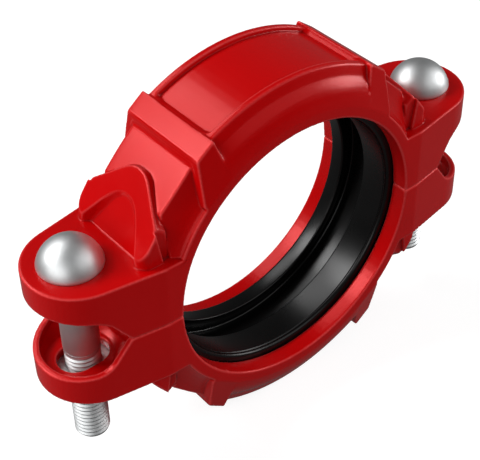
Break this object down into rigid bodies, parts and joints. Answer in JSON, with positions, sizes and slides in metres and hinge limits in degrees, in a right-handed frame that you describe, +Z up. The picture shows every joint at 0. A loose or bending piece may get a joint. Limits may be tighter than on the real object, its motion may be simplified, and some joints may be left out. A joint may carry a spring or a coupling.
{
  "type": "flexible pipe coupling",
  "caption": "Flexible coupling for grooved pipe: cast ring halves, bolted at the side lugs, close round a rubber gasket.",
  "frame": {"origin": "centre of the bore, on the parting plane between the halves", "axes": "+X from the left bolt to the right bolt, +Y along the pipe to the rear, +Z up along the bolts to their heads"},
  "size_m": [0.205, 0.0492, 0.1484],
  "materials": {
    "enamel": "gloss",
    "zinc": "satin",
    "gasket_rubber": "satin"
  },
  "bodies": {
    "upper": {"upper_housing": "enamel", "gasket": "gasket_rubber", "left_bolt": "zinc", "right_bolt": "zinc"},
    "lower": {"lower_housing": "enamel"},
    "left_nut": {"left_nut": "zinc"},
    "right_nut": {"right_nut": "zinc"}
  },
  "joints": [
    {"name": "lower_slide", "type": "slide", "parent": "upper", "child": "lower", "axis": [0, 0, -1], "range_m": [0, 0.018]},
    {"name": "left_nut_turn", "type": "hinge", "parent": "lower", "child": "left_nut", "pos_m": [-0.085, 0, 0], "axis": [0, 0, -1], "range_deg": [0, 3241]},
    {"name": "right_nut_turn", "type": "hinge", "parent": "lower", "child": "right_nut", "pos_m": [0.085, 0, 0], "axis": [0, 0, -1], "range_deg": [0, 3241]}
  ],
  "couplings": [
    {"joint": "left_nut_turn", "follows": "lower_slide", "rad_per_m": 3141.6},
    {"joint": "right_nut_turn", "follows": "lower_slide", "rad_per_m": 3141.6}
  ]
}
